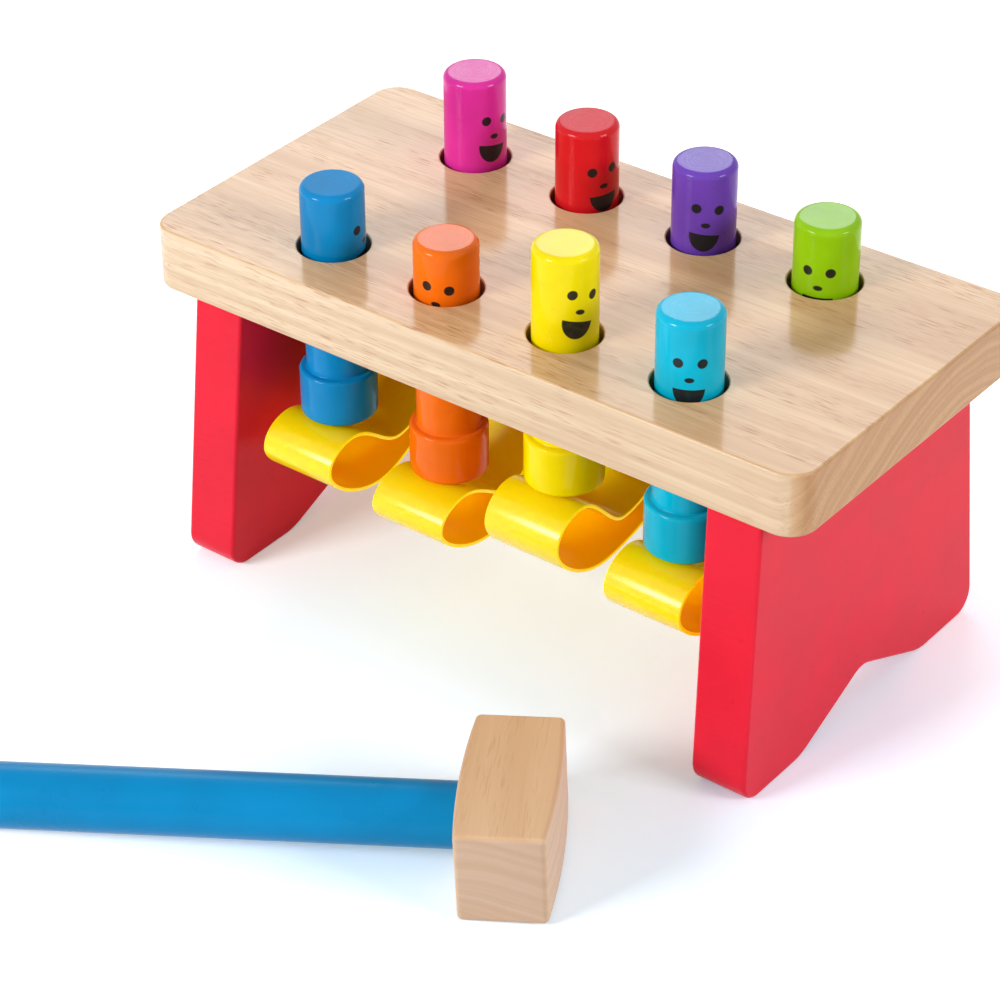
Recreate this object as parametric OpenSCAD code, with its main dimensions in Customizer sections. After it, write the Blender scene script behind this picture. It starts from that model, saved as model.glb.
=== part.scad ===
// Peg pounding bench: a wooden bench top on two painted side legs, eight turned pegs in two rows,
// four springy closed bands that rock on a rail under the top, and a wooden mallet beside it.
// Millimetres, +Z up, X along the bench, front row at low Y, floor at zero.
// The origin lies on the floor under the centre of the whole set.

/* [Bench top] */
// Length of the bench top
bench_l = 267; // [225:1:340]
// Width of the bench top
bench_w = 134; // [100:1:170]
// Thickness of the bench top
bench_t = 23; // [15:0.5:30]
// Height of the bench top's upper face above the floor
bench_h = 130; // [90:1:170]
// Corner radius of the bench top in plan
corner_r = 10; // [2:0.5:20]

/* [Peg holes] */
// Hole diameter
hole_d = 25.2; // [20:0.1:32]
// Distance of the outer columns from the bench top's ends
col_inset = 60.3; // [50:0.1:62]
// Distance between the two rows
row_gap = 78.4; // [56:0.1:100]

/* [Pegs] */
// Whole length of a peg
peg_l = 89; // [60:0.5:120]
// Stem diameter
peg_d = 22.2; // [15:0.1:28]
// Collar diameter at the lower end
collar_d = 27.2; // [20:0.1:34]
// Collar height
collar_h = 18; // [8:0.5:30]
// Rounding of the top rim
peg_round = 2.4; // [0.5:0.1:5]
// Rounding of the collar's rims
collar_round = 1.4; // [0.2:0.1:3]
// How far the blue peg stands out of the top
up_blue = 23.5; // [5:0.1:45]
// How far the orange peg stands out
up_orange = 18.8; // [5:0.1:45]
// How far the yellow peg stands out
up_yellow = 33.4; // [5:0.1:45]
// How far the cyan peg stands out
up_cyan = 27; // [5:0.1:45]
// How far the pink peg stands out
up_pink = 33.5; // [5:0.1:45]
// How far the red peg stands out
up_red = 29.3; // [5:0.1:45]
// How far the purple peg stands out
up_purple = 29.6; // [5:0.1:45]
// How far the green peg stands out
up_green = 24.4; // [5:0.1:45]

/* [Legs] */
// Thickness of a leg, measured level
leg_t = 20.8; // [12:0.1:30]
// Overhang of the bench top past each leg
overhang = 16.3; // [5:0.1:40]
// Width of a leg under the top
leg_top_w = 124.4; // [80:0.1:150]
// Flare of each edge of a leg, in degrees
leg_flare = 4.87; // [0:0.01:12]
// Outward lean of each leg, in degrees
leg_splay = 1.76; // [0:0.01:8]
// Rounding of the outer foot corners
foot_r = 8.5; // [1:0.1:20]
// Half width of the notch between the feet
notch_half = 37; // [15:0.5:60]
// Height of the notch before its apex is rounded
notch_h = 15.8; // [5:0.1:50]
// Rounding of the notch's apex
apex_r = 11; // [1:0.5:30]
// Rounding where the notch meets the feet
heel_r = 22; // [1:0.5:40]

/* [Rail] */
// Diameter of the rail under the top
rail_d = 12; // [8:0.1:20]
// Height of the rail's axis above the floor
rail_z = 58; // [30:0.5:90]
// Depth of the rail's seat in each leg
rail_seat = 11; // [4:0.5:18]

/* [Bands] */
// Width of a band along the bench
band_w = 30; // [20:0.5:40]
// Thickness of the strip
band_t = 1.3; // [0.8:0.1:3]
// Distance of a lobe's crest from the rail's axis
crest_y = 50.5; // [35:0.5:70]
// Distance of a lobe's far end from the rail's axis
reach_y = 63.5; // [45:0.5:85]
// Distance of the dip from the rail's axis
dip_y = 25; // [15:0.5:35]
// Distance of the lowest point from the rail's axis
belly_y = 36.5; // [20:0.5:55]
// Height of a lobe's crest when it is level with the other one
crest_mid = 69; // [50:0.5:90]
// Drop from a level crest to the dip
dip_drop = 14.4; // [5:0.1:25]
// Height of a lobe
lobe_h = 28.3; // [15:0.1:40]
// Gap from each crest up to its peg at rest
rest_gap = 0.9; // [0.3:0.1:3]
// Gap around the rail inside a band
saddle_gap = 0.4; // [0.2:0.05:1]
// Further gap under the rail
waist_gap = 1; // [0:0.1:5]

/* [Leg dowels] */
// Dowel diameter
dowel_d = 8; // [5:0.5:12]
// Dowel length
dowel_l = 28; // [15:0.5:40]
// Distance of each dowel from the leg's middle
dowel_y = 38; // [15:0.5:55]
// Depth of the dowel hole in the bench top
dowel_in_top = 14; // [6:0.5:20]

/* [Mallet] */
// Length of the head between its two striking ends
head_l = 63; // [40:0.5:90]
// Width of the head at its ends
head_end_w = 28.6; // [18:0.1:45]
// Width of the head in the middle
head_mid_w = 32.2; // [20:0.1:50]
// Height of the head
head_h = 33.8; // [20:0.1:50]
// Handle diameter
handle_d = 21.8; // [12:0.1:28]
// Distance from the head's middle to the handle's end
handle_reach = 190; // [120:1:260]
// Rounding of the handle's end
handle_round = 2.5; // [0.5:0.1:8]
// Depth of the handle's socket past the head's middle
socket_past = 8; // [2:0.5:14]
// Position of the head along the bench
mallet_x = 76.9; // [-120:0.1:120]
// Distance of the head in front of the bench's middle
mallet_front = 136.1; // [100:0.1:250]
// Turn of the handle from the bench's length, in degrees
mallet_turn = 31; // [0:0.5:180]

/* [Fits] */
// Radial gap of a glued dowel, rail or handle in its hole
glue_gap = 0.1; // [0.02:0.01:0.3]
// Gap left at the bottom of a blind hole
blind_gap = 0.5; // [0:0.1:2]

/* [Hidden] */
$fn = 96;
leg_h = bench_h - bench_t;
col_pitch = (bench_l - 2 * col_inset) / 3;
rows = [-row_gap / 2, row_gap / 2];
leg_x = bench_l / 2 - overhang;
foot_half = leg_top_w / 2 + leg_h * tan(leg_flare);
foot_reach = foot_half + foot_r - foot_r * (1 + sin(leg_flare)) / cos(leg_flare);
head_lean = atan2((head_h - handle_d) / 2, handle_reach - handle_round - head_mid_w / 2);
handle_level = (handle_reach - handle_round - head_mid_w / 2) * cos(head_lean) + head_h / 2 * sin(head_lean);
handle_side = (head_mid_w / 2 + handle_level) * sin(mallet_turn);
handle_front = mallet_front + handle_side + (handle_d / 2 - handle_round) * cos(mallet_turn) + handle_round;
set_y = (handle_front - foot_reach) / 2;
notch_a = atan2(notch_h, notch_half);
past = bench_t;
dowel_z = leg_h - dowel_l + dowel_in_top - blind_gap / 2;
peg_r = peg_d / 2;
rail_r = rail_d / 2;
saddle_r = rail_r + saddle_gap + band_t / 2;
// Share by which the dip and the belly of a lobe follow its crest
dip_follow = 0.55;
belly_follow = 0.65;
// Steps along each curve of a band, and along each small arc of a leg
curve_steps = 10;
arc_steps = 8;
side_sag = (head_mid_w - head_end_w) / 2;
side_r = (head_l * head_l / 4 + side_sag * side_sag) / (2 * side_sag);
// Shares of each curve's length at which its two middle points lie
slope_shares = [0.38, 0.36];
rise_shares = [0.33, 0.41];
turn_shares = [0.56, 0.56];
drop_shares = [0.4, 0.46];
waist_shares = [0.62, 0.33];
// Share of a lobe's height between its crest and its far end
far_share = 0.36;
// Degrees by which a band wraps the rail when its dip is level, and how many more a low dip adds
wrap_level = 32;
wrap_more = 50;

function col_x(i) = (i - 1.5) * col_pitch;
function leg_outer(z) = leg_x + tan(leg_splay) * (leg_h - z);
function arc(c, r, a0, a1, n) =
    [for (i = [0 : n]) let (a = a0 + (a1 - a0) * i / n) c + r * [cos(a), sin(a)]];
function flip(p) = [for (i = [len(p) - 1 : -1 : 0]) [-p[i][0], p[i][1]]];

// Outline of half a leg, from its top down the front edge to the notch's apex
function leg_half() =
    let (fc = [-foot_half + foot_r * (1 + sin(leg_flare)) / cos(leg_flare), foot_r])
    let (hc = [-notch_half - heel_r * tan(notch_a / 2), heel_r])
    let (ac = [0, notch_h - apex_r / cos(notch_a)])
    concat([[-leg_top_w / 2, leg_h]], arc(fc, foot_r, 180 - leg_flare, 270, arc_steps),
           arc(hc, heel_r, 270, 270 + notch_a, arc_steps), arc(ac, apex_r, 90 + notch_a, 90, arc_steps));

// One cubic curve: centreline points and unit directions
function bez(p, t) = pow(1 - t, 3) * p[0] + 3 * pow(1 - t, 2) * t * p[1]
    + 3 * (1 - t) * t * t * p[2] + pow(t, 3) * p[3];
function bez_dir(p, t) = 3 * pow(1 - t, 2) * (p[1] - p[0]) + 6 * (1 - t) * t * (p[2] - p[1])
    + 3 * t * t * (p[3] - p[2]);
function curve(p) = [for (i = [1 : curve_steps]) [bez(p, i / curve_steps), bez_dir(p, i / curve_steps)]];

// Heights of a lobe's centreline, from the height of its crest
function lobe_top(crest) = crest - band_t / 2;
function lobe_dip(crest) = crest_mid - dip_drop + dip_follow * (crest - crest_mid) - band_t / 2;
function lobe_low(crest) = crest_mid - lobe_h + belly_follow * (crest - crest_mid) + band_t / 2;

// Centreline of half a band, from over the rail, round the lobe, to under the rail
function half_band(crest) =
    let (zc = lobe_top(crest), zd = lobe_dip(crest), zb = lobe_low(crest))
    let (far = reach_y - band_t / 2, zf = zc - far_share * (zc - zb))
    let (wrap = wrap_level + wrap_more * max(0, crest_mid - dip_drop - zd) / lobe_h)
    let (s0 = [saddle_r * sin(wrap), rail_z + saddle_r * cos(wrap)], sd = [cos(wrap), -sin(wrap)])
    let (run = norm([dip_y, zd] - s0), low = rail_z - saddle_r - waist_gap)
    concat([for (i = [0 : arc_steps]) let (a = wrap * i / arc_steps)
                [[saddle_r * sin(a), rail_z + saddle_r * cos(a)], [cos(a), -sin(a)]]],
           curve([s0, s0 + slope_shares[0] * run * sd, [dip_y - slope_shares[1] * run, zd], [dip_y, zd]]),
           curve([[dip_y, zd], [dip_y + rise_shares[0] * (crest_y - dip_y), zd],
                  [crest_y - rise_shares[1] * (crest_y - dip_y), zc], [crest_y, zc]]),
           curve([[crest_y, zc], [crest_y + turn_shares[0] * (far - crest_y), zc],
                  [far, zf + turn_shares[1] * (zc - zf)], [far, zf]]),
           curve([[far, zf], [far, zf - drop_shares[0] * (zf - zb)],
                  [belly_y + drop_shares[1] * (far - belly_y), zb], [belly_y, zb]]),
           curve([[belly_y, zb], [waist_shares[0] * belly_y, zb],
                  [waist_shares[1] * belly_y, low], [0, low]]));

// The centreline moved sideways by s, to the strip's outer or inner face
function side(c, s) = [for (q = c) q[0] + s * [-q[1][1], q[1][0]] / norm(q[1])];
function loop(front, back, s) =
    let (b = side(half_band(back), s), f = flip(side(half_band(front), s)))
    concat(b, [for (i = [1 : len(f) - 2]) f[i]]);

module to_side() { rotate([90, 0, 90]) children(); }

module plate_outline() {
    x = bench_l / 2 - corner_r;
    y = bench_w / 2 - corner_r;
    square([bench_l, 2 * y], center = true);
    square([2 * x, bench_w], center = true);
    for (sx = [-1, 1], sy = [-1, 1]) translate([sx * x, sy * y]) circle(corner_r);
}

module bench_top() {
    color([0.87, 0.72, 0.53]) translate([0, set_y, leg_h]) difference() {
        linear_extrude(bench_t) plate_outline();
        for (i = [0 : 3], y = rows) translate([col_x(i), y, -past])
            cylinder(d = hole_d, h = bench_t + 2 * past);
        for (sx = [-1, 1], sy = [-1, 1]) translate([sx * (leg_x - leg_t / 2), sy * dowel_y, -past])
            cylinder(d = dowel_d + 2 * glue_gap, h = past + dowel_in_top);
    }
}

// A leg stands at positive X and is mirrored for the left
module leg() {
    difference() {
        intersection() {
            translate([leg_x - 2 * leg_t, 0, 0]) to_side() linear_extrude(4 * leg_t)
                polygon(concat(leg_half(), flip(leg_half())));
            translate([leg_x, 0, leg_h]) rotate([0, -leg_splay, 0])
                translate([-leg_t * cos(leg_splay), -leg_top_w, -2 * leg_h])
                cube([leg_t * cos(leg_splay), 2 * leg_top_w, 4 * leg_h]);
        }
        for (sy = [-1, 1]) translate([leg_x - leg_t / 2, sy * dowel_y, dowel_z - blind_gap / 2])
            cylinder(d = dowel_d + 2 * glue_gap, h = dowel_l + past);
        translate([leg_outer(rail_z) - leg_t - past, 0, rail_z]) rotate([0, 90, 0])
            cylinder(r = rail_r + glue_gap, h = past + rail_seat);
    }
}

module leg_right() { color([0.83, 0.09, 0.16]) translate([0, set_y, 0]) leg(); }

module leg_left() { color([0.83, 0.09, 0.16]) translate([0, set_y, 0]) mirror([1, 0, 0]) leg(); }

module leg_dowels() {
    color([0.85, 0.72, 0.55]) for (sx = [-1, 1], sy = [-1, 1])
        translate([sx * (leg_x - leg_t / 2), set_y + sy * dowel_y, dowel_z])
        cylinder(d = dowel_d, h = dowel_l - blind_gap / 2);
}

module rail() {
    half = leg_outer(rail_z) - leg_t + rail_seat - blind_gap;
    color([0.86, 0.73, 0.56]) translate([-half, set_y, rail_z]) rotate([0, 90, 0])
        cylinder(r = rail_r, h = 2 * half);
}

// Solid of revolution with both rims rounded
module rounded_rod(r, h, e) {
    rotate_extrude() {
        square([r - e, h]);
        translate([0, e]) square([r, h - 2 * e]);
        for (z = [e, h - e]) translate([r - e, z]) circle(e, $fn = 48);
    }
}

module peg(k, y, up) {
    translate([col_x(k), set_y + y, bench_h + up - peg_l]) union() {
        rounded_rod(collar_d / 2, collar_h, collar_round);
        translate([0, 0, collar_h / 2]) rounded_rod(peg_r, peg_l - collar_h / 2, peg_round);
    }
}

module peg_blue() { color([0.0, 0.45, 0.72]) peg(0, rows[0], up_blue); }

module peg_orange() { color([0.97, 0.42, 0.08]) peg(1, rows[0], up_orange); }

module peg_yellow() { color([0.98, 0.86, 0.02]) peg(2, rows[0], up_yellow); }

module peg_cyan() { color([0.05, 0.68, 0.8]) peg(3, rows[0], up_cyan); }

module peg_pink() { color([0.78, 0.1, 0.6]) peg(0, rows[1], up_pink); }

module peg_red() { color([0.85, 0.07, 0.12]) peg(1, rows[1], up_red); }

module peg_purple() { color([0.36, 0.16, 0.6]) peg(2, rows[1], up_purple); }

module peg_green() { color([0.42, 0.74, 0.1]) peg(3, rows[1], up_green); }

// One closed band, flexed so that its two crests lie just under its two pegs
module band(k, up_front, up_back) {
    low = bench_h - peg_l - rest_gap;
    color([1, 0.86, 0.02]) translate([col_x(k) - band_w / 2, set_y, 0]) to_side() linear_extrude(band_w)
        difference() {
            polygon(loop(low + up_front, low + up_back, band_t / 2));
            polygon(loop(low + up_front, low + up_back, -band_t / 2));
        }
}

module band_1() { band(0, up_blue, up_pink); }

module band_2() { band(1, up_orange, up_red); }

module band_3() { band(2, up_yellow, up_purple); }

module band_4() { band(3, up_cyan, up_green); }

// The mallet lies on its head's side and on its handle's end, so it leans a little
module lay_mallet() {
    translate([mallet_x, set_y - mallet_front, 0]) rotate([0, 0, mallet_turn])
        translate([-head_mid_w / 2, 0, 0]) rotate([0, -head_lean, 0])
        translate([head_mid_w / 2, 0, head_h / 2]) children();
}

module bulge() { cylinder(r = side_r, h = head_h, center = true, $fn = 360); }

module mallet_head() {
    color([0.85, 0.7, 0.52]) lay_mallet() difference() {
        intersection() {
            cube([head_mid_w, head_l, head_h], center = true);
            translate([head_mid_w / 2 - side_r, 0, 0]) bulge();
            translate([side_r - head_mid_w / 2, 0, 0]) bulge();
        }
        translate([-head_mid_w, 0, 0]) rotate([0, 90, 0])
            cylinder(d = handle_d + 2 * glue_gap, h = head_mid_w + socket_past);
    }
}

module mallet_handle() {
    color([0.0, 0.5, 0.78]) lay_mallet() translate([-handle_reach, 0, 0]) rotate([0, 90, 0])
        rounded_rod(handle_d / 2, handle_reach + socket_past - blind_gap, handle_round);
}

bench_top();
leg_left();
leg_right();
leg_dowels();
rail();
peg_blue();
peg_orange();
peg_yellow();
peg_cyan();
peg_pink();
peg_red();
peg_purple();
peg_green();
band_1();
band_2();
band_3();
band_4();
mallet_head();
mallet_handle();
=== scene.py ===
"""The looks of the peg pounding bench: wood, paint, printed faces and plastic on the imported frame.

Metres, in the frame's own axes: X along the bench, the front row of pegs at low Y, the floor at zero.
"""

import math

import bmesh
import bpy
from mathutils import Matrix, Vector


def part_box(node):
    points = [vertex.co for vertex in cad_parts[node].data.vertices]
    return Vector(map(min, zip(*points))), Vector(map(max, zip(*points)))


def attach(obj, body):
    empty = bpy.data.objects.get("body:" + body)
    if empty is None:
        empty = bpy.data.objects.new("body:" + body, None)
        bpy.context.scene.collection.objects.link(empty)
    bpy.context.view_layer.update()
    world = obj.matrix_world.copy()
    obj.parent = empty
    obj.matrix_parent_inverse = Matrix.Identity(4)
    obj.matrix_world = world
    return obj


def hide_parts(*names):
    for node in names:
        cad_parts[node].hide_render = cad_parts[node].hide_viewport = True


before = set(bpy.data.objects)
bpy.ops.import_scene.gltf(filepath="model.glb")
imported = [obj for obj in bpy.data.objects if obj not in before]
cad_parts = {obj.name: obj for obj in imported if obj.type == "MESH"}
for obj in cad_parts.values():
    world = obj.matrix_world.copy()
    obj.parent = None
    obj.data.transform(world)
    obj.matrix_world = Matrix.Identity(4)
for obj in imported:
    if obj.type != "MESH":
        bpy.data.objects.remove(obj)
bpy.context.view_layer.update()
MM = 0.001
UP = Vector((0, 0, 1))
NO_TURN = (0, 0, 0)
QUARTER = math.radians(90)

# Camera: place, axes and lens at which the photograph was taken
SET_Y = sum(v.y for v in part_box("bench_top")) / 2
CAMERA_AT = Vector((0.57258, SET_Y - 0.78248, 0.68724))
CAMERA_AZ, CAMERA_EL, CAMERA_ROLL = (math.radians(v) for v in (39.89, 33.67, -1.60))
CAMERA_LENS, CAMERA_SENSOR = 119.70, 36
CAMERA_SHIFT = (0.10406, -0.01636)

# Light: strength of the world, and each lamp's direction round the set and above the floor in degrees,
# distance, width, height, power in watts and colour. All lamps look at one point in the bench top.
WORLD_LIGHT = 0.42
LAMPS = {
    "key": (-112, 24, 2.2, 0.80, 0.55, 33.0, (1.0, 1.0, 1.0)),
    "fill": (8, 24, 3.0, 1.00, 0.70, 35.0, (1.0, 1.0, 1.0)),
    "back": (129.9, 34, 3.0, 1.5, 1.05, 20.5, (0.90, 0.98, 1.10)),
}
LAMP_TARGET = Vector((0, SET_Y, 0.12))

# The floor's colour and glow, as the camera sees them: the glow is weak about a point between the bench
# and the mallet, where it offsets the colour thrown by the paint, and stronger away from it
FLOOR_SIZE = 8
FLOOR_COLOUR, FLOOR_ROUGH = (0.80, 0.80, 0.80), 0.9
GLOW_X, GLOW_Y = 0.04, SET_Y - 0.06
GLOW_NEAR, GLOW_FAR = 0.11, 0.24
NEAR_GLOW, FAR_GLOW = (0.14, 0.22, 0.26), (0.54, 0.49, 0.44)
NEAR_FLOOR, FAR_FLOOR = (0.98, 1.07, 1.18), (1.06, 1.01, 1.02)

# Bench top: corners in plan, holes, and the rounding of its edges
SLAB_CORNER = 10 * MM
HOLE_R = 12.6 * MM
SLAB_EDGE, HOLE_EDGE = 1.0 * MM, 0.7 * MM

# Legs, in millimetres as in the part's source: half width at the top, height, thickness, the outer face's
# distance from the middle at the top, the lean outwards and the widening of each edge in degrees
LEG_HALF, LEG_H, LEG_THICK, LEG_OUT = 62.2, 107.0, 20.8, 117.2
LEG_SPLAY, LEG_FLARE = 1.76, 4.87
# Radii of a leg's top corners, feet, heels and the middle of its notch, and the notch's half width and
# height before they are rounded
LEG_CORNER_R, FOOT_R, HEEL_R, APEX_R = 1.7, 8.5, 22.0, 11.0
NOTCH_HALF, NOTCH_H = 37.0, 15.8
LEG_EDGE = 1.3 * MM

# Pegs: colour (linear), the printed face's direction from the axis and its tilt in degrees, how much
# lower than usual it was printed, and how dull the flat top is, from 0 to 1
PEGS = {
    "blue": ((0.000, 0.245, 0.575), 20.5, -5, 0.0, 0.75),
    "orange": ((0.930, 0.165, 0.003), -71, 7, -0.8 * MM, 0.0),
    "yellow": ((0.980, 0.780, 0.000), -27.8, 12, -0.35 * MM, 0.0),
    "cyan": ((0.000, 0.480, 0.700), -56, 1.5, 0.1 * MM, 0.0),
    "pink": ((0.720, 0.028, 0.335), -15, 8.5, 1.0 * MM, 0.0),
    "red": ((0.700, 0.010, 0.016), -22.4, -3, 0.3 * MM, 0.45),
    "purple": ((0.150, 0.052, 0.450), -52.7, 6.5, -0.9 * MM, 0.0),
    "green": ((0.290, 0.575, 0.003), -70.6, 1, 1.25 * MM, 0.0),
}
STEM_R, RIM_R = 11.1 * MM, 2.4 * MM
COLLAR_R, COLLAR_H, COLLAR_RIM = 13.6 * MM, 18 * MM, 1.4 * MM
COVE_OUT, COVE_UP = 0.3 * MM, 0.4 * MM
STEM_ROWS = 24

# Face print, measured down from a peg's top and sideways from the nose
EYE_DOWN, EYE_OUT, EYE_R = 14.2 * MM, 3.95 * MM, 1.75 * MM
NOSE_DOWN, NOSE_W, NOSE_H = 20.1 * MM, 1.6 * MM, 0.95 * MM
MOUTH_DOWN, MOUTH_W, MOUTH_H = 23.6 * MM, 5.3 * MM, 6.4 * MM
PRINT_EDGE = 0.12 * MM
INK = (0.014, 0.013, 0.012)

# Bands, in millimetres as in the part's source: the strip's thickness and width; how far from the middle
# a loop has its crest, its outermost point, its dip and its belly; the middle height of a crest, the
# dip's depth below it and the height of a lobe; and the gaps under a peg, over the rail and under it
STRIP_T, STRIP_W = 1.3, 30.0
CREST_Y, REACH_Y, DIP_Y, BELLY_Y = 50.5, 63.5, 25.0, 36.5
CREST_MID, DIP_DROP, LOBE_H = 69.0, 14.4, 28.3
REST_GAP, SADDLE_GAP, WAIST_GAP = 0.9, 0.4, 1.0
# How much of the crest's own move the dip and the belly make, how far down a loop its outermost point
# lies, and how far round the rail the strip wraps, in degrees: at least, and the most that is added
DIP_FOLLOWS, BELLY_FOLLOWS, REACH_DOWN = 0.55, 0.65, 0.36
WRAP_LEAST, WRAP_MORE = 32, 50
WRAP_STEPS, CURVE_STEPS = 12, 26
STRIP_EDGE = 0.35 * MM
PAIRS = (("blue", "pink"), ("orange", "red"), ("yellow", "purple"), ("cyan", "green"))

# Mallet, in millimetres as in the part's source: its middle and direction on the floor, the head's width
# at its ends and middle, length, height and corners, and the handle's radius, reach from the head's
# middle, rounded end and depth past that middle
MALLET_X, MALLET_Y, MALLET_TURN = 76.9, -136.1, 31
HEAD_END, HEAD_MID, HEAD_LONG, HEAD_TALL, HEAD_CORNER = 28.6, 32.2, 63.0, 33.8, 2.1
ROD_R, ROD_REACH, ROD_END, ROD_INNER = 10.9, 190, 2.5, 7.5
HEAD_EDGE = 1.8 * MM
HEAD_STEPS, ROD_ROWS = 24, 40

# Wood pattern: cells per metre along the grain and the two ways across it, for the wandering of the rings,
# fibres, streaks, pores and groups of pores; then rings outward and their cells along the grain, per
# metre, and how far they wander, in metres
DRIFT_CELLS, FIBRE_CELLS, STREAK_CELLS = (2.5, 16, 16), (20, 800, 800), (13, 480, 480)
PORE_CELLS, PORE_GROUP_CELLS = (100, 2100, 2100), (12, 130, 110)
RINGS_PER_M, RING_CELLS_ALONG, RING_DRIFT = 260, 1.5, 0.008

# Paint pattern, in cells per metre: the grain under it, cloudiness and specks; the swirls of sanding on a
# top, outward and per radian; the cutter's marks on a leg's edges and their lean; the print's unevenness
GRAIN_CELLS, CLOUD_CELLS, SPECK_CELLS = 700, (38, 38, 38), (430, 430, 430)
SWIRLS_OUT, SWIRLS_ROUND = 1500, 1.3
CUTTER_CELLS, CUTTER_LEAN = (75, 75, 760), (0, 0.06, 0)
PRINT_CELLS = (500, 500, 500)

# Plastic pattern: cloudiness and the lines drawn along the strip
HAZE_CELLS, DRAWN_CELLS = (60, 60, 60), (18, 380, 380)

# Depth of each relief
WOOD_RELIEF, PAINT_RELIEF, LEG_RELIEF, PLASTIC_RELIEF = 0.05 * MM, 0.04 * MM, 0.06 * MM, 0.02 * MM

# Woods: linear colours, roughness, gloss, and the tints of end grain and of side faces, which are partly the
# wood's own colour and partly painted light and shade on faces that look that way
SLAB_WOOD = {
    "light": (0.82, 0.545, 0.300), "dark": (0.62, 0.36, 0.175), "pore": (0.46, 0.18, 0.075),
    "rough": 0.13, "shine": 0.2, "end_tint": (0.77, 0.68, 0.61), "side_tint": (1.02, 1.22, 1.57),
}
HEAD_WOOD = {
    "light": (0.77, 0.51, 0.30), "dark": (0.68, 0.42, 0.23), "pore": (0.45, 0.25, 0.12),
    "rough": 0.42, "shine": 0.2, "end_tint": (0.83, 0.89, 1.10), "side_tint": (0.98, 1.06, 1.26),
    "streak": 0.4, "side_streak": 1.0, "lines": 0.5, "seed": 3.1,
}
HIDDEN_WOOD = {
    "light": (0.74, 0.54, 0.36), "dark": (0.58, 0.38, 0.22), "pore": (0.35, 0.2, 0.1), "rough": 0.5,
}
# Where the growth rings' middle lies, across the grain and up: for the head, from its own middle
SLAB_PITH, HEAD_PITH, HIDDEN_PITH = (SET_Y + 0.035, 0.02), (0.025, -0.14), (0.02, -0.05)

# Paints: linear colours, roughness and gloss
LEG_RED, LEG_ROUGH, LEG_SHINE = (0.78, 0.014, 0.040), 0.28, 0.14
HANDLE_BLUE, HANDLE_ROUGH = (0.000, 0.230, 0.510), 0.26
PEG_SHINE = 0.165

# Band plastic: linear colours outside, in the drawn lines, inside the loop (a deeper orange that is painted
# shade and bounce light) and on the cut edges; the colour of a painted glow, an emission standing in for
# light passing through; and how strong that painted glow is outside, inside and on the cut edges
YELLOW, YELLOW_LINES, INSIDE_PAINTED_SHADE = (1.0, 0.77, 0.002), (0.97, 0.55, 0.0), (1.0, 0.58, 0.0)
CUT_YELLOW_AND_GLOW, PAINTED_GLOW_COLOUR = (1.0, 0.80, 0.0), (1.0, 0.50, 0.0)
GLOW_OUTSIDE, GLOW_INSIDE, GLOW_CUT = 0.07, 0.13, 0.34


# Meshes with their exact normals

class Surface:
    """Rows of points with normals and flat (u, v) places, joined into one mesh."""

    def __init__(self):
        self.points, self.normals, self.uvs, self.faces = [], [], [], []

    def row(self, points, normals, uvs):
        start = len(self.points)
        self.points += [Vector(p) for p in points]
        self.normals += [Vector(n).normalized() for n in normals]
        self.uvs += uvs
        return list(range(start, len(self.points)))

    def bridge(self, a, b, closed=True):
        """Quads from row a to row b, outward when b follows a on the left."""
        count = len(a)
        for i in range(count if closed else count - 1):
            j = (i + 1) % count
            self.faces.append((a[i], a[j], b[j], b[i]))

    def cap(self, rings, flat):
        """Fills the flat region between closed rings; flat(point) gives its place in the plane."""
        work = bmesh.new()
        keys = {}
        for ring in rings:
            made = []
            for i in ring:
                v = work.verts.new(flat(self.points[i]) + (0.0,))
                keys[v] = i
                made.append(v)
            for a, b in zip(made, made[1:] + made[:1]):
                work.edges.new((a, b))
        filled = bmesh.ops.triangle_fill(work, use_beauty=True, edges=work.edges[:], normal=(0, 0, 1))
        for face in (g for g in filled["geom"] if isinstance(g, bmesh.types.BMFace)):
            loop = [keys[v] for v in face.verts]
            a, b, c = (self.points[i] for i in loop[:3])
            if (b - a).cross(c - a).dot(self.normals[loop[0]]) < 0:
                loop.reverse()
            self.faces.append(tuple(loop))
        work.free()

    def build(self, name, material, body, node, matrix):
        """The piece in the row frame: matrix puts its own points there."""
        mesh = bpy.data.meshes.new(name)
        mesh.from_pydata([tuple(matrix @ p) for p in self.points], [], self.faces)
        layer = mesh.uv_layers.new(name="flat")
        for loop in mesh.loops:
            layer.data[loop.index].uv = self.uvs[loop.vertex_index]
        for polygon in mesh.polygons:
            polygon.use_smooth = True
        turned = matrix.to_3x3()
        mesh.normals_split_custom_set_from_vertices([tuple(turned @ n) for n in self.normals])
        mesh.materials.append(material)
        piece = bpy.data.objects.new(name, mesh)
        bpy.context.scene.collection.objects.link(piece)
        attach(piece, body)
        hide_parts(node)


def lathe(surface, profile, steps=128):
    """Turns a profile of (radius, height, normal out, normal up) about Z; None parts two stretches."""
    angles = [-math.pi + 2 * math.pi * i / steps for i in range(steps + 1)]
    last = None
    for entry in profile:
        if entry is None:
            last = None
            continue
        r, z, out, up = entry
        ring = surface.row(
            [(r * math.cos(a), r * math.sin(a), z) for a in angles],
            [(out * math.cos(a), out * math.sin(a), up) for a in angles],
            [(a * STEM_R, z) for a in angles])
        if last:
            surface.bridge(last, ring, closed=False)
        last = ring


def on_circle(degrees):
    return Vector((math.cos(math.radians(degrees)), math.sin(math.radians(degrees))))


def arc(centre, r, start, end, steps):
    """Points on a circle, from one angle to another in degrees."""
    return [Vector(centre) + r * on_circle(start + (end - start) * i / steps) for i in range(steps + 1)]


def rim(r, z, e, start, end, steps=8):
    """A rounding of radius e about (r, z) for lathe, from one angle to another in degrees above level."""
    return [tuple(Vector((r, z)) + e * w) + tuple(w) for w in arc((0, 0), 1, start, end, steps)]


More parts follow.
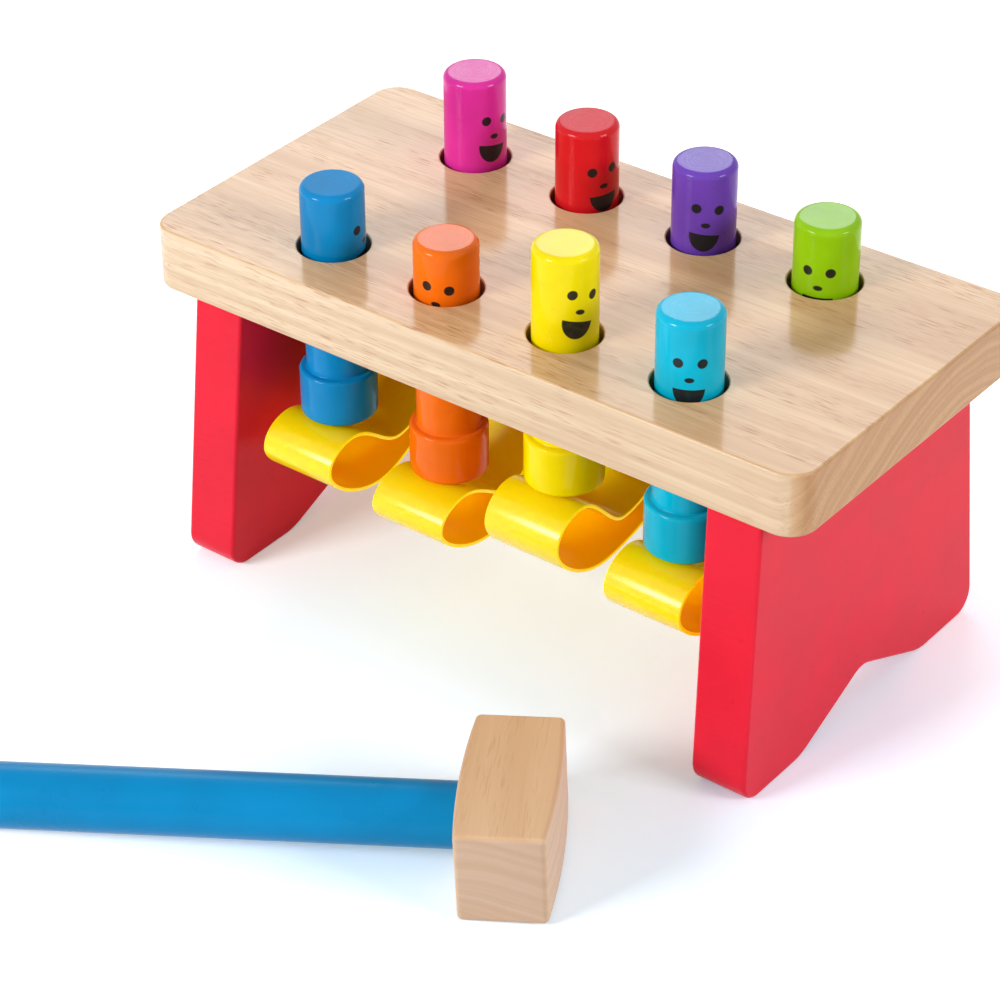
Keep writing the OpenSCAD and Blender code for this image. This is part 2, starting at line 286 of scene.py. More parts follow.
def loop_normals(points):
    """Outward normals of a counter-clockwise loop."""
    out = []
    for i, p in enumerate(points):
        a, b = points[i - 1], points[(i + 1) % len(points)]
        along = (p - a).normalized() + (b - p).normalized()
        out.append(Vector((along.y, -along.x)).normalized())
    return out


def plate(surface, loops, depth, place, front, side, flat, steps=7):
    """A plate with rounded edges and its two flat faces. loops are (points, outward normals, rounding),
    the first the outline and the others holes. place(p, d) puts a flat point at depth d, front is the
    front face's normal, side(n) turns a flat normal, and flat(point) gives a place in the faces' plane.
    The second flat coordinate of a hole says how deep a point lies in it, as a share of the plate; the wood
    paints shade on the hole walls from it."""
    caps = ([], [])
    for number, (points, normals, edge) in enumerate(loops):
        rings = []
        stretch = [(front, a) for a in range(steps + 1)] + [(-front, a) for a in range(steps, -1, -1)]
        for face, a in stretch:
            angle = QUARTER * a / steps
            inset, down = edge * (1 - math.sin(angle)), edge * (1 - math.cos(angle))
            d = down if face is front else depth - down
            rings.append(surface.row(
                [place(p - n * inset, d) for p, n in zip(points, normals)],
                [math.sin(angle) * side(n) + math.cos(angle) * face for n in normals],
                [(0.0, min(d, depth - d) / depth if number else 0.0)] * len(points)))
        for a, b in zip(rings, rings[1:]):
            surface.bridge(b, a)
        caps[0].append(rings[0])
        caps[1].append(rings[-1])
    for face_rings in caps:
        surface.cap(face_rings, flat)


def rounded_box_loop(half_x, half_y, r, steps=10):
    corners = ((half_x - r, half_y - r, 0), (r - half_x, half_y - r, 90),
               (r - half_x, r - half_y, 180), (half_x - r, r - half_y, 270))
    return [p for x, y, a in corners for p in arc((x, y), r, a, a + 90, steps)]


# Procedural materials

class Nodes:
    """Short names for the shader nodes that the materials are made of."""

    def __init__(self, name):
        self.material = bpy.data.materials.new(name)
        self.material.use_nodes = True
        self.tree = self.material.node_tree
        self.shader = self.tree.nodes["Principled BSDF"]

    def add(self, kind, settings=None, **sockets):
        node = self.tree.nodes.new(kind)
        for key, value in (settings or {}).items():
            setattr(node, key, value)
        for key, value in sockets.items():
            self.put(node.inputs[key.replace("_", " ")], value)
        return node

    def put(self, socket, value):
        if isinstance(value, bpy.types.NodeSocket):
            self.tree.links.new(value, socket)
        else:
            socket.default_value = value

    def math(self, operation, a, b=0.0, clamp=False):
        node = self.add("ShaderNodeMath", {"operation": operation, "use_clamp": clamp})
        self.put(node.inputs[0], a)
        self.put(node.inputs[1], b)
        return node.outputs[0]

    def plus(self, a, b):
        return self.math("ADD", a, b)

    def minus(self, a, b):
        return self.math("SUBTRACT", a, b)

    def times(self, a, b):
        return self.math("MULTIPLY", a, b)

    def absolute(self, a):
        return self.math("ABSOLUTE", a)

    def length(self, a, b):
        return self.math("SQRT", self.plus(self.times(a, a), self.times(b, b)))

    def spread(self, value, low, high, to_low=0.0, to_high=1.0):
        """The value's place between low and high, clamped, told between to_low and to_high."""
        node = self.add("ShaderNodeMapRange", {"clamp": True})
        for i, v in enumerate((value, low, high, to_low, to_high)):
            self.put(node.inputs[i], v)
        return node.outputs[0]

    def coords(self, kind):
        return self.add("ShaderNodeTexCoord").outputs[kind]

    def split(self, vector):
        return self.add("ShaderNodeSeparateXYZ", Vector=vector).outputs

    def join(self, x, y, z=0.0):
        return self.add("ShaderNodeCombineXYZ", X=x, Y=y, Z=z).outputs[0]

    def place(self, scale=(1, 1, 1), turn=NO_TURN, shift=(0, 0, 0)):
        """The piece's own coordinates, turned, then stretched, then shifted."""
        coords = self.coords("Object")
        if any(turn):
            coords = self.add("ShaderNodeMapping", Vector=coords, Rotation=turn).outputs[0]
        return self.add("ShaderNodeMapping", Vector=coords, Scale=scale, Location=shift).outputs[0]

    def turned_normal(self, turn):
        """The surface's direction in the piece's own axes, turned as the grain is."""
        settings = {"vector_type": "NORMAL"}
        return self.add("ShaderNodeMapping", settings, Vector=self.coords("Normal"), Rotation=turn).outputs[0]

    def noise(self, vector, detail, rough=0.5, scale=1.0):
        node = self.add("ShaderNodeTexNoise", Vector=vector, Scale=scale, Detail=detail, Roughness=rough)
        return node.outputs["Fac"]

    def mix(self, factor, a, b, blend="MIX"):
        node = self.add("ShaderNodeMix", {"data_type": "RGBA", "blend_type": blend})
        self.put(node.inputs["Factor"], factor)
        self.put(node.inputs["A"], rgba(a))
        self.put(node.inputs["B"], rgba(b))
        return node.outputs["Result"]

    def tint(self, factor, base, colour):
        """The base colour, multiplied by another where the factor is 1."""
        return self.mix(factor, base, self.mix(1.0, base, colour, "MULTIPLY"))

    def finish(self, colour, rough, height, depth, strength, **constants):
        """Joins colour, roughness and relief to the shader, and sets its constants."""
        normal = self.add("ShaderNodeBump", Height=height, Distance=depth, Strength=strength).outputs[0]
        self.put(self.shader.inputs["Base Color"], colour)
        self.put(self.shader.inputs["Roughness"], rough)
        self.put(self.shader.inputs["Normal"], normal)
        for key, value in constants.items():
            self.shader.inputs[key.replace("_", " ")].default_value = value
        return self.material


def rgba(colour):
    return colour if isinstance(colour, bpy.types.NodeSocket) else tuple(colour) + (1.0,)


def shade(colour, factor):
    return tuple(factor * c for c in colour)


def wood(name, light, dark, pore, rough, pith, streak=1.0, shine=0.3, turn=NO_TURN, seed=0.0,
         end_tint=(0.88, 0.66, 0.44), side_tint=(1, 1, 1), side_streak=0.65, lines=0.45, hole_shade=False):
    """Hardwood with its grain along the piece's X axis, as a solid pattern: growth rings about a pith
    at (y, z), fine fibres and short open pores. Rings show as arcs on the end grain. A piece with shaded
    holes
    gets painted shade on their walls: dark where the second flat coordinate says that a point lies in a hole."""
    n = Nodes(name)
    shift = (seed, seed * 1.7, seed * 2.3)
    facing = n.split(n.turned_normal(turn))
    side = n.spread(n.absolute(facing["Y"]), 0.5, 0.9)
    end = n.spread(n.absolute(facing["X"]), 0.5, 0.9)
    on_side = n.spread(side, 0, 1, streak, streak * side_streak)
    shown = n.times(on_side, n.spread(end, 0, 1, 1.0, 0.35))

    flat = n.split(n.place(turn=turn))
    wander = n.noise(n.place(DRIFT_CELLS, turn, shift), 2.0)
    drift = n.spread(wander, 0.0, 1.0, -RING_DRIFT, RING_DRIFT)
    radius = n.length(n.minus(flat["Y"], pith[0]), n.minus(flat["Z"], pith[1]))
    outward = n.times(n.plus(radius, drift), RINGS_PER_M)
    ring_place = n.join(outward, n.times(flat["X"], RING_CELLS_ALONG), seed)
    rings = n.noise(ring_place, 2.0, 0.6)
    late = n.noise(ring_place, 1.0, scale=2.2)
    fibres = n.noise(n.place(FIBRE_CELLS, turn, shift), 4.0, 0.65)
    streaks = n.noise(n.place(STREAK_CELLS, turn, shift), 3.0, 0.6)
    pores = n.noise(n.place(PORE_CELLS, turn, shift), 1.0)
    gathered = n.spread(n.noise(n.place(PORE_GROUP_CELLS, turn, shift), 2.0), 0.42, 0.60)
    holes = n.times(n.spread(pores, 0.56, 0.66), gathered)

    base = n.mix(n.spread(rings, 0.36, 0.66, 0.0, 0.8), light, dark)
    base = n.mix(n.times(n.spread(late, 0.56, 0.68), lines), base, dark)
    base = n.mix(n.times(n.spread(streaks, 0.50, 0.70, 0.0, 0.75), shown), base, dark)
    base = n.mix(n.times(n.spread(fibres, 0.42, 0.72, 0.0, 0.50), shown), base, dark)
    base = n.mix(n.times(n.spread(holes, 0, 1, 0.0, 0.75), shown), base, pore)
    # Tints by the face's direction: partly the wood's own colour, partly painted light and shade on the ends
    # and sides
    base = n.tint(side, base, side_tint)
    base = n.tint(end, base, end_tint)
    corner = n.times(end, n.minus(1.0, end))
    base = n.mix(n.times(corner, 1.6), base, dark)
    # Painted shade: the walls of the holes are painted near black below their rounded rim, where they get no
    # light
    if hole_shade:
        within = n.split(n.coords("UV"))["Y"]
        base = n.mix(n.spread(within, 0.015, 0.05, 0.0, 0.95), base, shade(dark, 0.1))
    relief = n.minus(n.times(fibres, 0.5), n.times(holes, 0.6))
    roughness = n.spread(fibres, 0.3, 0.8, rough - 0.03, rough + 0.06)
    return n.finish(base, roughness, relief, WOOD_RELIEF, 0.4, Specular_IOR_Level=shine)


def paint(name, colour, rough=0.095, shine=0.135, depth=PAINT_RELIEF, along=(1, 1, 0.12), turn=NO_TURN,
          cloudy=1.0, specks=0.10, face=None, axis=None, dull=0.0, sawn=0.0):
    """Gloss paint over wood: faint grain under it, uneven thickness and specks.
    along stretches the grain, face is the (tilt, height of the nose) of a printed face, axis is the
    (x, y) about which a turned piece's flat top keeps the marks of its sanding, painted paler in swirls as a
    painted sheen, dull is how far the paint has lost its gloss there and how much of that painted sheen it
    loses, and sawn is how strongly the edges of a board keep the short cross marks of the cutter."""
    n = Nodes(name)
    grain = n.noise(n.place(shade(along, GRAIN_CELLS), turn), 3.0, 0.6)
    cloud = n.noise(n.place(CLOUD_CELLS), 3.0)
    spots = n.spread(n.noise(n.place(SPECK_CELLS), 0.0), 0.80, 0.84)
    darker = shade(colour, 1 - 0.14 * cloudy)
    lighter = tuple(min(1.0, c) for c in shade(colour, 1.05))
    base = n.mix(n.spread(cloud, 0.35, 0.65), darker, lighter)
    base = n.mix(n.times(n.spread(grain, 0.45, 0.8), 0.16), base, darker)
    base = n.mix(n.times(spots, specks), base, shade(colour, 0.35))
    height = n.plus(n.times(grain, 0.25), cloud)
    roughness = n.spread(cloud, 0.3, 0.7, rough, rough + 0.07)
    if axis is not None:
        top, swirls = sanded_top(n, axis)
        # Painted sheen: the sanding swirls on a flat top are painted paler, standing in for light reflected
        # by the top
        painted_sheen = tuple(0.55 * c + 0.36 for c in colour)
        base = n.mix(n.times(swirls, 0.20 * (1 - dull)), base, painted_sheen)
        height = n.plus(height, n.times(swirls, 0.5))
        roughness = n.plus(roughness, n.times(top, 0.5 * dull))
    if sawn:
        marks = cutter_marks(n)
        base = n.mix(n.times(marks, 0.10), base, darker)
        height = n.plus(height, n.times(marks, sawn))
    if face is not None:
        base = n.mix(face_print(n, *face), base, INK)
    return n.finish(base, roughness, height, depth, 0.6, Specular_IOR_Level=shine)


def sanded_top(n, axis):
    """Masks of the faces that look straight up, and of the swirls about the axis on them."""
    flat = n.split(n.place(shift=(-axis[0], -axis[1], 0)))
    out = n.length(flat["X"], flat["Y"])
    round_at = n.math("ARCTAN2", flat["Y"], flat["X"])
    swirl = n.noise(n.join(n.times(out, SWIRLS_OUT), n.times(round_at, SWIRLS_ROUND)), 3.0, 0.6)
    top = n.spread(n.split(n.coords("Normal"))["Z"], 0.93, 0.98)
    return top, n.times(top, n.spread(swirl, 0.45, 0.75))


def cutter_marks(n):
    """A mask of the short cross marks on a leg's narrow edges, which look along Y."""
    facing = n.absolute(n.split(n.coords("Normal"))["Y"])
    chatter = n.noise(n.place(CUTTER_CELLS, CUTTER_LEAN), 2.0)
    return n.times(n.spread(facing, 0.90, 0.98), n.spread(chatter, 0.42, 0.66))


def face_print(n, tilt, nose_up):
    """The printed face as a mask: two round eyes, an oval nose and an open mouth with a straight top."""
    flat = n.split(n.coords("UV"))
    u, v = flat["X"], n.minus(flat["Y"], nose_up)
    c, s = on_circle(tilt)
    x = n.minus(n.times(u, c), n.times(v, s))
    y = n.plus(n.times(u, s), n.times(v, c))

    def oval(cx, cy, rx, ry):
        """1 inside an oval, 0 outside, over a short soft edge."""
        dx = n.math("DIVIDE", n.minus(x, cx), rx)
        dy = n.math("DIVIDE", n.minus(y, cy), ry)
        soft = PRINT_EDGE / min(rx, ry)
        return n.spread(n.length(dx, dy), 1 - soft, 1 + soft, 1.0, 0.0)

    eye_up, mouth_up = NOSE_DOWN - EYE_DOWN, NOSE_DOWN - MOUTH_DOWN
    eyes = n.plus(oval(-EYE_OUT, eye_up, EYE_R, EYE_R), oval(EYE_OUT, eye_up, EYE_R, EYE_R))
    nose = oval(0.0, 0.0, NOSE_W, NOSE_H)
    below = n.spread(y, mouth_up - PRINT_EDGE, mouth_up + PRINT_EDGE, 1.0, 0.0)
    mouth = n.times(oval(0.0, mouth_up, MOUTH_W, MOUTH_H), below)
    ink = n.math("ADD", n.plus(eyes, nose), mouth, clamp=True)
    patchy = n.spread(n.noise(n.place(PRINT_CELLS), 2.0), 0.3, 0.6, 0.97, 0.99)
    return n.times(ink, patchy)


def plastic(name):
    """Smooth moulded strip: drawn lines along it, some light scattered through it, and a painted glow, an
    emission standing in for light passing through, strongest on the cut edges. The inside of the loop, at 1
    on the flat map's second axis, is painted deeper in colour as painted shade and bounce light."""
    n = Nodes(name)
    cloud = n.noise(n.place(HAZE_CELLS), 2.0)
    drawn = n.noise(n.place(DRAWN_CELLS), 3.0, 0.6)
    flat = n.split(n.coords("UV"))
    half = STRIP_W / 2 * MM
    cut = n.spread(n.absolute(flat["X"]), half - 0.9 * STRIP_EDGE, half - 0.3 * STRIP_EDGE)
    base = n.mix(n.spread(cloud, 0.35, 0.7), YELLOW, shade(YELLOW, 0.96))
    base = n.mix(n.times(n.spread(drawn, 0.5, 0.8), 0.04), base, YELLOW_LINES)
    # Painted shade and bounce light: the loop's inside is painted a deeper orange
    base = n.mix(flat["Y"], base, INSIDE_PAINTED_SHADE)
    base = n.mix(cut, base, CUT_YELLOW_AND_GLOW)
    # Painted glow: an emission on the strip, though it is no lamp, stronger inside and strongest on the cut
    # edges
    glow = n.plus(n.spread(flat["Y"], 0, 1, GLOW_OUTSIDE, GLOW_INSIDE), n.times(cut, GLOW_CUT))
    n.put(n.shader.inputs["Emission Color"], n.mix(cut, PAINTED_GLOW_COLOUR, CUT_YELLOW_AND_GLOW))
    n.put(n.shader.inputs["Emission Strength"], glow)
    n.put(n.shader.inputs["Subsurface Scale"], n.spread(flat["Y"], 0, 1, 0.001, 0.003))
    roughness = n.spread(drawn, 0.3, 0.8, 0.21, 0.29)
    return n.finish(base, roughness, n.plus(drawn, cloud), PLASTIC_RELIEF, 0.4, Specular_IOR_Level=0.4,
                    Subsurface_Weight=1.0, Subsurface_Radius=(1.0, 0.30, 0.01))


# Pieces

def make_slab():
    low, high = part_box("bench_top")
    half = (high - low) / 2
    outline = rounded_box_loop(half.x, half.y, SLAB_CORNER)
    loops = [(outline, loop_normals(outline), SLAB_EDGE)]
    for key in PEGS:
        a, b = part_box("peg_" + key)
        centre = Vector(((a.x + b.x) / 2, (a.y + b.y) / 2 - SET_Y))
        # A hole's edge runs clockwise, and its outward normals point at its middle
        points = arc(centre, HOLE_R, 0, -360, 96)[:-1]
        loops.append((points, [(centre - p).normalized() for p in points], HOLE_EDGE))
    s = Surface()
    plate(s, loops, high.z - low.z, lambda p, d: Vector((p.x, p.y, -d)), UP,
          lambda n: Vector((n.x, n.y, 0)), lambda p: (p.x, p.y))
    finish = wood("slab_wood", pith=SLAB_PITH, hole_shade=True, **SLAB_WOOD)
    s.build("slab", finish, "bench", "bench_top", Matrix.Translation((0, SET_Y, high.z)))


def leg_outline():
    """A leg's side, seen from outside, in millimetres: a flared plate with an arched notch."""
    flare = math.radians(LEG_FLARE)
    foot_half = LEG_HALF + LEG_H * math.tan(flare)
    notch = math.degrees(math.atan2(NOTCH_H, NOTCH_HALF))
    corner_y = -LEG_HALF + LEG_CORNER_R * (1 - math.sin(flare)) / math.cos(flare)
    foot_y = -foot_half + FOOT_R * (1 + math.sin(flare)) / math.cos(flare)
    heel = (-NOTCH_HALF - HEEL_R * math.tan(math.radians(notch / 2)), HEEL_R)
    apex = (0.0, NOTCH_H - APEX_R / math.cos(math.radians(notch)))
    half = arc((corner_y, LEG_H - LEG_CORNER_R), LEG_CORNER_R, 90, 180 - LEG_FLARE, 5)
    half += arc((foot_y, FOOT_R), FOOT_R, 180 - LEG_FLARE, 270, 14)
    half += arc(heel, HEEL_R, 270, 270 + notch, 10)
    half += arc(apex, APEX_R, 90 + notch, 90, 6)
    return half + [Vector((-p.x, p.y)) for p in reversed(half[:-1])]


def make_leg(side):
    """side is 1 for the right leg and -1 for the left; the plate leans outward towards the floor."""
    splay = math.tan(math.radians(LEG_SPLAY))
    outline = [p * MM for p in leg_outline()]
    s = Surface()
    plate(s, [(outline, loop_normals(outline), LEG_EDGE)], LEG_THICK * MM,
          lambda p, d: Vector((side * (LEG_OUT * MM + splay * (LEG_H * MM - p.y) - d), p.x, p.y)),
          Vector((side, 0, splay)).normalized(), lambda n: Vector((0, n.x, n.y)), lambda p: (p.y, p.z))
    if side < 0:
        # The mirrored rows run the other way round; the caps have already been turned to face outward
        s.faces = [tuple(reversed(f)) if len(f) == 4 else f for f in s.faces]
    name = "right" if side > 0 else "left"
    finish = paint("leg_red_" + name, LEG_RED, LEG_ROUGH, LEG_SHINE, LEG_RELIEF, along=(1, 0.9, 0.10),
                   cloudy=0.35, specks=0.13, sawn=0.9)
    s.build("leg_painted_" + name, finish, "bench", "leg_" + name,
            Matrix.Translation((0, SET_Y, 0)))


def make_peg(key):
    colour, turn, tilt, lower, dull = PEGS[key]
    low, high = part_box("peg_" + key)
    length = high.z - low.z
    cove, foot, stem_top = STEM_R + COVE_OUT, COLLAR_H + COVE_UP, length - RIM_R
    profile = [(0.0, 0.0, 0, -1)]
    profile += rim(COLLAR_R - COLLAR_RIM, COLLAR_RIM, COLLAR_RIM, -90, 0)
    profile += rim(COLLAR_R - COLLAR_RIM, COLLAR_H - COLLAR_RIM, COLLAR_RIM, 0, 90)
    profile += [(cove, COLLAR_H, 0, 1), None, (cove, COLLAR_H, 0.3, 1), (STEM_R, foot, 1, 0.3), None]
    profile += [(STEM_R, foot + (stem_top - foot) * i / STEM_ROWS, 1, 0) for i in range(STEM_ROWS + 1)]
    profile += rim(STEM_R - RIM_R, stem_top, RIM_R, 0, 90, 12)[1:]
    profile += [(r * STEM_R, length, 0, 1) for r in (0.6, 0.4, 0.2, 0.0)]
    s = Surface()
    lathe(s, profile)
    axis = ((low.x + high.x) / 2, (low.y + high.y) / 2)
    finish = paint("paint_gloss_" + key, colour, shine=PEG_SHINE, face=(tilt, length - NOSE_DOWN - lower),
                   axis=axis, dull=dull)
    s.build("peg_turned_" + key, finish, "peg_" + key, "peg_" + key,
            Matrix.Translation(axis + (low.z,)) @ Matrix.Rotation(math.radians(turn), 4, "Z"))


def bezier(p0, p1, p2, p3, steps):
    """Points and directions of one cubic curve, without its first point."""
    out = []
    for i in range(1, steps + 1):
        t = i / steps
        point = (1 - t) ** 3 * p0 + 3 * (1 - t) ** 2 * t * p1 + 3 * (1 - t) * t * t * p2 + t ** 3 * p3
        along = 3 * (1 - t) ** 2 * (p1 - p0) + 6 * (1 - t) * t * (p2 - p1) + 3 * t * t * (p3 - p2)
        out.append((point, along.normalized()))
    return out


def half_band(crest, rail_z, rail_r):
    """Centreline of half a band from over the rail round its lobe to under the rail, in millimetres."""
    saddle = rail_r + SADDLE_GAP + STRIP_T / 2
    move = crest - CREST_MID
    crest_z = crest - STRIP_T / 2
    dip_z = CREST_MID - DIP_DROP + DIP_FOLLOWS * move - STRIP_T / 2
    belly_z = CREST_MID - LOBE_H + BELLY_FOLLOWS * move + STRIP_T / 2
    reach_y = REACH_Y - STRIP_T / 2
    reach_z = crest_z - REACH_DOWN * (crest_z - belly_z)
    wrap = WRAP_LEAST + WRAP_MORE * max(0.0, CREST_MID - DIP_DROP - dip_z) / LOBE_H
    line = []
    for i in range(WRAP_STEPS + 1):
        out = on_circle(90 - wrap * i / WRAP_STEPS)
        line.append((Vector((0, rail_z)) + saddle * out, Vector((out.y, -out.x))))

    start, slope = line[-1]
    dip = Vector((DIP_Y, dip_z))
    forth, down, back = Vector((1, 0)), Vector((0, -1)), Vector((-1, 0))
    run, climb, nose = (dip - start).length, CREST_Y - DIP_Y, reach_y - CREST_Y
    # Each stop is a point, the way through it, and the curve's handles before and after it
    stops = (
        (start, slope, 0.0, 0.38 * run),
        (dip, forth, 0.36 * run, 0.33 * climb),
        (Vector((CREST_Y, crest_z)), forth, 0.41 * climb, 0.56 * nose),
        (Vector((reach_y, reach_z)), down, 0.56 * (crest_z - reach_z), 0.4 * (reach_z - belly_z)),
        (Vector((BELLY_Y, belly_z)), back, 0.46 * (reach_y - BELLY_Y), 0.38 * BELLY_Y),
        (Vector((0, rail_z - saddle - WAIST_GAP)), back, 0.33 * BELLY_Y, 0.0),
    )
    for (a, way_a, _, after), (b, way_b, before, _) in zip(stops, stops[1:]):
        line += bezier(a, a + after * way_a, b - before * way_b, b, CURVE_STEPS)
    return line


def make_band(number, finish):
    front, back = PAIRS[number - 1]
    low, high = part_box("band_%d" % number)
    rail_low, rail_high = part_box("rail")
    rail_z, rail_r = (rail_low.z + rail_high.z) / 2 / MM, (rail_high.z - rail_low.z) / 2 / MM
    line = half_band(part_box("peg_" + back)[0].z / MM - REST_GAP, rail_z, rail_r)
    mirrored = half_band(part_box("peg_" + front)[0].z / MM - REST_GAP, rail_z, rail_r)
    line += [(Vector((-p.x, p.y)), Vector((d.x, -d.y))) for p, d in reversed(mirrored[1:-1])]
    section = rounded_box_loop(STRIP_W / 2 * MM, STRIP_T / 2 * MM, STRIP_EDGE, 4)
    normals = loop_normals(section)
    s = Surface()
    rings = []
    for p, along in line:
        out = Vector((-along.y, along.x))
        # The second flat coordinate is 1 on the loop's inside, where the strip gets painted shade and a
        # stronger painted glow
        rings.append(s.row(
            [Vector((q.x, p.x * MM + out.x * q.y, p.y * MM + out.y * q.y)) for q in section],
            [Vector((m.x, out.x * m.y, out.y * m.y)) for m in normals],
            [(q.x, 1.0 if q.y < -0.4 * STRIP_T * MM else 0.0) for q in section]))
    for a, b in zip(rings, rings[1:] + rings[:1]):
        s.bridge(b, a)
    s.build("strip_%d" % number, finish, "band_%d" % number, "band_%d" % number,
            Matrix.Translation(((low.x + high.x) / 2, SET_Y, 0)))


def mallet_frame():
    """The mallet's own axes: its middle, with X from the handle to the head and Z up from its lower side.
    It leans, as it lies on the head and on the handle's end."""
    lean = math.atan2(HEAD_TALL / 2 - ROD_R, ROD_REACH - ROD_END - HEAD_MID / 2)
    heel = HEAD_MID / 2 * MM
    return (Matrix.Translation((MALLET_X * MM, SET_Y + MALLET_Y * MM, 0))
            @ Matrix.Rotation(math.radians(MALLET_TURN), 4, "Z")
            @ Matrix.Translation((-heel, 0, 0)) @ Matrix.Rotation(-lean, 4, "Y")
            @ Matrix.Translation((heel, 0, HEAD_TALL / 2 * MM)))


def head_outline():
    """The head from above, in millimetres: two straight striking ends and two slightly bulging sides."""
    mid, length, r = HEAD_MID / 2, HEAD_LONG / 2, HEAD_CORNER
    sag = (HEAD_MID - HEAD_END) / 2
    bulge = (length * length + sag * sag) / (2 * sag)
    side = []
    for i in range(HEAD_STEPS + 1):
        y = (length - r) * (2 * i / HEAD_STEPS - 1)
        side.append(Vector((mid - bulge + math.sqrt(bulge * bulge - y * y), y)))
    corner = arc((side[-1].x - r, length - r), r, 6, 90, 7)
    points = side + corner
    points += [Vector((-p.x, p.y)) for p in reversed(side + corner)]
    points += [Vector((-p.x, -p.y)) for p in corner]
    points += [Vector((p.x, -p.y)) for p in reversed(corner)]
    return points


def make_mallet():
    at = mallet_frame()
    outline = [p * MM for p in head_outline()]
    top = HEAD_TALL / 2 * MM
    block = Surface()
    plate(block, [(outline, loop_normals(outline), HEAD_EDGE)], HEAD_TALL * MM,
          lambda p, d: Vector((p.x, p.y, top - d)), UP,
          lambda n: Vector((n.x, n.y, 0)), lambda p: (p.x, p.y))
    turn = (0, 0, -math.radians(MALLET_TURN + 90))
    middle = Matrix.Rotation(turn[2], 3, "Z") @ at.translation
    pith = (middle.y + HEAD_PITH[0], middle.z + HEAD_PITH[1])
    finish = wood("head_wood", pith=pith, turn=turn, **HEAD_WOOD)
    block.build("mallet_block", finish, "mallet", "mallet_head", at)

    r, e, reach, inner = (v * MM for v in (ROD_R, ROD_END, ROD_REACH, ROD_INNER))
    profile = [(0, -reach, 0, -1)] + rim(r - e, e - reach, e, -90, 0)
    run = reach - e + inner
    profile += [(r, e - reach + run * i / ROD_ROWS, 1, 0) for i in range(1, ROD_ROWS + 1)]
    profile += [None, (r, inner, 0, 1), (0, inner, 0, 1)]
    rod = Surface()
    lathe(rod, profile)
    finish = paint("handle_blue", HANDLE_BLUE, HANDLE_ROUGH, along=(0.10, 1, 1),
                   turn=(0, 0, -math.radians(MALLET_TURN)), cloudy=0.35)
    rod.build("mallet_rod", finish, "mallet", "mallet_handle",
              at @ Matrix.Rotation(QUARTER, 4, "Y"))


def dress_hidden():
    """The rail and the dowels keep their CAD solids and get bare wood."""
    bare = wood("rail_wood", pith=HIDDEN_PITH, seed=5.2, **HIDDEN_WOOD)
    upright = wood("dowel_wood", pith=HIDDEN_PITH, seed=7.4, turn=(0, QUARTER, 0), **HIDDEN_WOOD)
    for node, finish in (("rail", bare), ("leg_dowels", upright)):
        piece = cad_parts[node]
        piece.data.materials.clear()
        piece.data.materials.append(finish)


# Floor, light and camera

def make_floor():
    """A white sweep: camera and mirror rays see some glow added, so it is white but keeps its shadows."""
    n = Nodes("floor_white")
    n.put(n.shader.inputs["Base Color"], rgba(FLOOR_COLOUR))
    n.put(n.shader.inputs["Roughness"], FLOOR_ROUGH)
    at = n.place(shift=(-GLOW_X, -GLOW_Y, 0))
    reach = n.add("ShaderNodeVectorMath", {"operation": "LENGTH"}, Vector=at).outputs["Value"]
    away = n.spread(reach, GLOW_NEAR, GLOW_FAR)
    seen = n.add("ShaderNodeBsdfDiffuse", Color=n.mix(away, NEAR_FLOOR, FAR_FLOOR))
    glow = n.add("ShaderNodeEmission", Color=n.mix(away, NEAR_GLOW, FAR_GLOW), Strength=1.0)
    both = n.add("ShaderNodeAddShader")
    n.put(both.inputs[0], seen.outputs[0])
    n.put(both.inputs[1], glow.outputs[0])
    path = n.add("ShaderNodeLightPath").outputs
    direct = n.math("MAXIMUM", path["Is Camera Ray"], path["Is Glossy Ray"])
    direct = n.math("MAXIMUM", direct, path["Is Transmission Ray"])
    choose = n.add("ShaderNodeMixShader")
    n.put(choose.inputs[0], direct)
    n.put(choose.inputs[1], n.shader.outputs[0])
    n.put(choose.inputs[2], both.outputs[0])
    n.put(n.tree.nodes["Material Output"].inputs["Surface"], choose.outputs[0])
    bpy.ops.mesh.primitive_plane_add(size=FLOOR_SIZE, location=(0, 0, 0))
    floor = bpy.context.object
    floor.name = "floor"
    floor.data.materials.append(n.material)


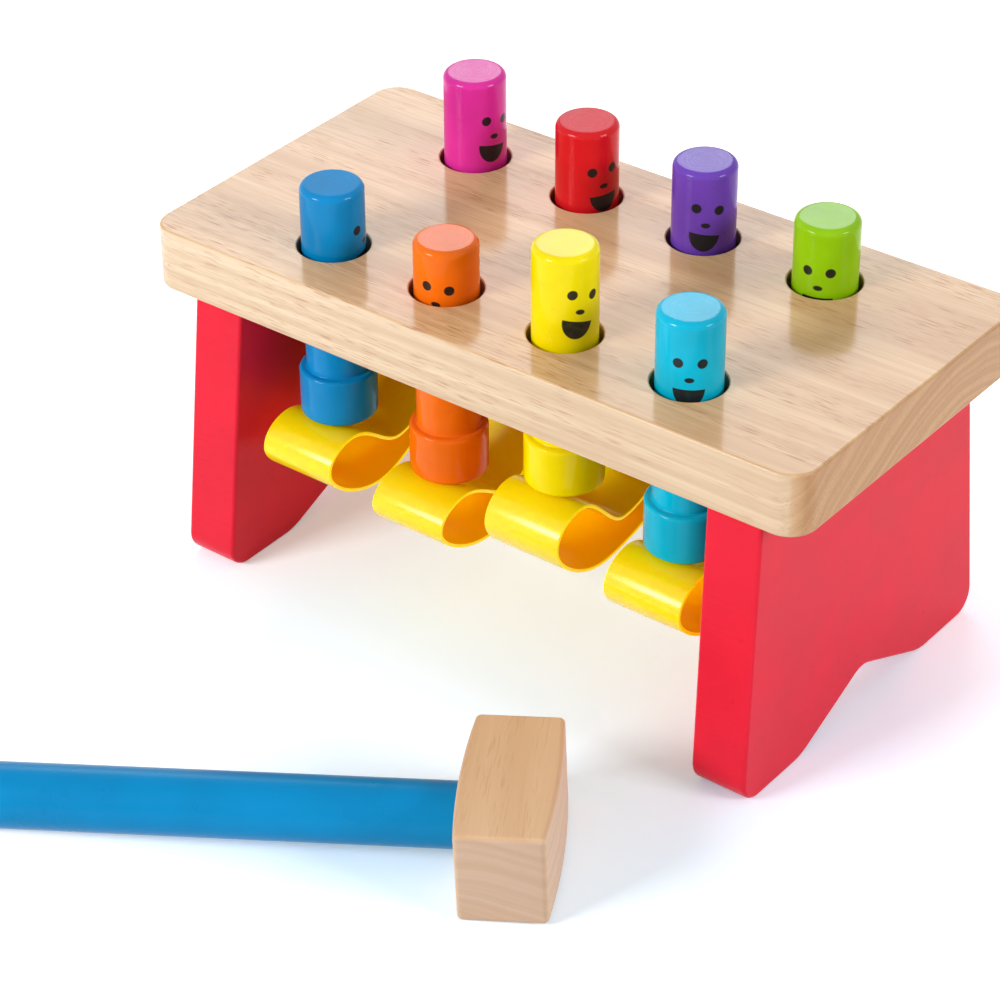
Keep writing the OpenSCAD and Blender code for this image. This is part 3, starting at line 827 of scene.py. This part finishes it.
def make_world():
    """Even white light, seen at full strength by camera and mirror rays."""
    world = bpy.data.worlds.new("studio")
    bpy.context.scene.world = world
    world.use_nodes = True
    tree = world.node_tree
    tree.nodes.clear()
    backgrounds = []
    for strength in (WORLD_LIGHT, 1.0):
        node = tree.nodes.new("ShaderNodeBackground")
        node.inputs["Color"].default_value = (1, 1, 1, 1)
        node.inputs["Strength"].default_value = strength
        backgrounds.append(node)
    path = tree.nodes.new("ShaderNodeLightPath")
    most = tree.nodes.new("ShaderNodeMath")
    most.operation = "MAXIMUM"
    mix = tree.nodes.new("ShaderNodeMixShader")
    out = tree.nodes.new("ShaderNodeOutputWorld")
    tree.links.new(path.outputs["Is Camera Ray"], most.inputs[0])
    tree.links.new(path.outputs["Is Glossy Ray"], most.inputs[1])
    tree.links.new(most.outputs[0], mix.inputs[0])
    tree.links.new(backgrounds[0].outputs[0], mix.inputs[1])
    tree.links.new(backgrounds[1].outputs[0], mix.inputs[2])
    tree.links.new(mix.outputs[0], out.inputs["Surface"])


def make_lamp(name, round_deg, up_deg, distance, width, height, power, colour):
    """A soft box that looks at LAMP_TARGET."""
    data = bpy.data.lights.new(name, "AREA")
    data.shape = "RECTANGLE"
    data.size, data.size_y = width, height
    data.energy = power
    data.color = colour
    lamp = bpy.data.objects.new(name, data)
    bpy.context.scene.collection.objects.link(lamp)
    out, up = on_circle(up_deg)
    x, y = on_circle(round_deg) * out
    way = Vector((x, y, up))
    lamp.location = LAMP_TARGET + distance * way
    lamp.rotation_euler = (-way).to_track_quat("-Z", "Y").to_euler()


def make_camera():
    back = Vector((math.sin(CAMERA_AZ) * math.cos(CAMERA_EL), -math.cos(CAMERA_AZ) * math.cos(CAMERA_EL),
                   math.sin(CAMERA_EL)))
    right = UP.cross(back).normalized()
    up = back.cross(right)
    c, s = math.cos(CAMERA_ROLL), math.sin(CAMERA_ROLL)
    axes = Matrix((c * right + s * up, -s * right + c * up, back)).transposed().to_4x4()
    data = bpy.data.cameras.new("photo_view")
    data.lens = CAMERA_LENS
    data.sensor_width = CAMERA_SENSOR
    data.shift_x, data.shift_y = CAMERA_SHIFT
    camera = bpy.data.objects.new("photo_view", data)
    bpy.context.scene.collection.objects.link(camera)
    camera.matrix_world = Matrix.Translation(CAMERA_AT) @ axes
    bpy.context.scene.camera = camera


make_slab()
make_leg(1)
make_leg(-1)
for peg in PEGS:
    make_peg(peg)
strip = plastic("band_yellow")
for band in range(1, 5):
    make_band(band, strip)
make_mallet()
dress_hidden()
make_floor()
make_world()
for lamp in LAMPS:
    make_lamp(lamp, *LAMPS[lamp])
make_camera()
bpy.context.scene.view_settings.view_transform = "Standard"
